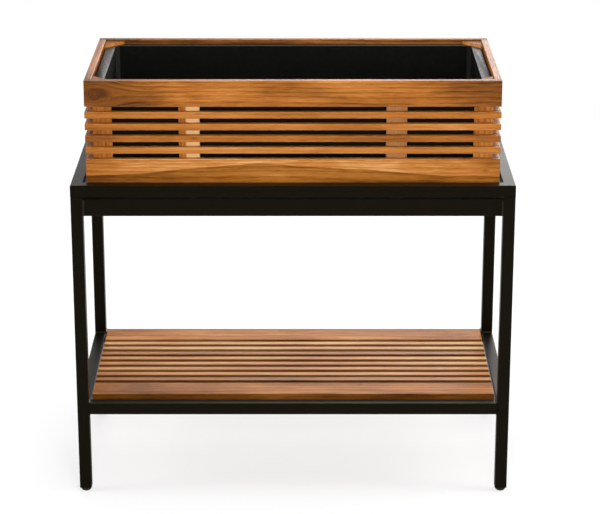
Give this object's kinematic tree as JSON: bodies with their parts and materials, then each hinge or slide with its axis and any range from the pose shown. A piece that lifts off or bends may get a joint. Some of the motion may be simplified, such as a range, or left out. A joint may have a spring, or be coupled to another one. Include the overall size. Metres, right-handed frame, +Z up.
{
  "type": "raised garden bed",
  "caption": "Table-height garden bed: slatted wooden box with a lift-out black liner, set in a square-tube steel stand with a slatted wooden shelf and screw-in levelling feet.",
  "frame": {"origin": "on the floor, under the middle of the stand", "axes": "+X to the right along the length, +Y to the rear, +Z up; the front is at -Y"},
  "size_m": [0.914, 0.457, 0.897],
  "materials": {
    "stand_steel": "satin black powder coat, fine orange peel",
    "foot_plastic": "black moulded plastic",
    "plug_plastic": "black moulded plastic",
    "liner_plastic": "satin black moulded plastic",
    "box_wood": "oiled hardwood, golden brown, straight grain with darker streaks",
    "shelf_wood": "oiled hardwood, a little paler than the box",
    "screw_steel": "zinc plated"
  },
  "bodies": {
    "stand": {"leg_front_left": "stand_steel", "leg_front_right": "stand_steel", "leg_rear_right": "stand_steel", "leg_rear_left": "stand_steel", "ring_rail_front": "stand_steel", "ring_rail_right": "stand_steel", "ring_rail_rear": "stand_steel", "ring_rail_left": "stand_steel", "shelf_rail_front": "stand_steel", "shelf_rail_right": "stand_steel", "shelf_rail_rear": "stand_steel", "shelf_rail_left": "stand_steel", "apron_front": "stand_steel", "apron_right": "stand_steel", "apron_rear": "stand_steel", "apron_left": "stand_steel", "bed_bars": "stand_steel", "shelf_tabs": "stand_steel", "leg_plugs": "plug_plastic"},
    "planter_box": {"front_top_board": "box_wood", "front_slats": "box_wood", "front_bottom_board": "box_wood", "right_top_board": "box_wood", "right_slats": "box_wood", "right_bottom_board": "box_wood", "rear_top_board": "box_wood", "rear_slats": "box_wood", "rear_bottom_board": "box_wood", "left_top_board": "box_wood", "left_slats": "box_wood", "left_bottom_board": "box_wood", "upright_front_left": "box_wood", "upright_front_right": "box_wood", "upright_rear_right": "box_wood", "upright_rear_left": "box_wood", "corner_post_front_left": "box_wood", "corner_post_front_right": "box_wood", "corner_post_rear_right": "box_wood", "corner_post_rear_left": "box_wood", "box_screws": "screw_steel"},
    "liner": {"liner": "liner_plastic"},
    "shelf": {"shelf_front_board": "shelf_wood", "shelf_rear_board": "shelf_wood", "shelf_slat_1": "shelf_wood", "shelf_slat_2": "shelf_wood", "shelf_slat_3": "shelf_wood", "shelf_slat_4": "shelf_wood", "shelf_slat_5": "shelf_wood", "shelf_slat_6": "shelf_wood", "shelf_slat_7": "shelf_wood", "shelf_slat_8": "shelf_wood", "shelf_battens": "shelf_wood", "shelf_screws": "screw_steel"},
    "foot_front_left": {"foot_front_left": "foot_plastic"},
    "foot_front_right": {"foot_front_right": "foot_plastic"},
    "foot_rear_right": {"foot_rear_right": "foot_plastic"},
    "foot_rear_left": {"foot_rear_left": "foot_plastic"}
  },
  "joints": [
    {"name": "box_lift", "type": "slide", "parent": "stand", "child": "planter_box", "axis": [0, 0, 1], "range_m": [0, 0.1]},
    {"name": "liner_lift", "type": "slide", "parent": "planter_box", "child": "liner", "axis": [0, 0, 1], "range_m": [0, 0.23]},
    {"name": "shelf_lift", "type": "slide", "parent": "stand", "child": "shelf", "axis": [0, 0, 1], "range_m": [0, 0.06]},
    {"name": "foot_screw_front_left", "type": "slide", "parent": "stand", "child": "foot_front_left", "axis": [0, 0, -1], "range_m": [0, 0.01]},
    {"name": "foot_screw_front_right", "type": "slide", "parent": "stand", "child": "foot_front_right", "axis": [0, 0, -1], "range_m": [0, 0.01]},
    {"name": "foot_screw_rear_right", "type": "slide", "parent": "stand", "child": "foot_rear_right", "axis": [0, 0, -1], "range_m": [0, 0.01]},
    {"name": "foot_screw_rear_left", "type": "slide", "parent": "stand", "child": "foot_rear_left", "axis": [0, 0, -1], "range_m": [0, 0.01]}
  ]
}
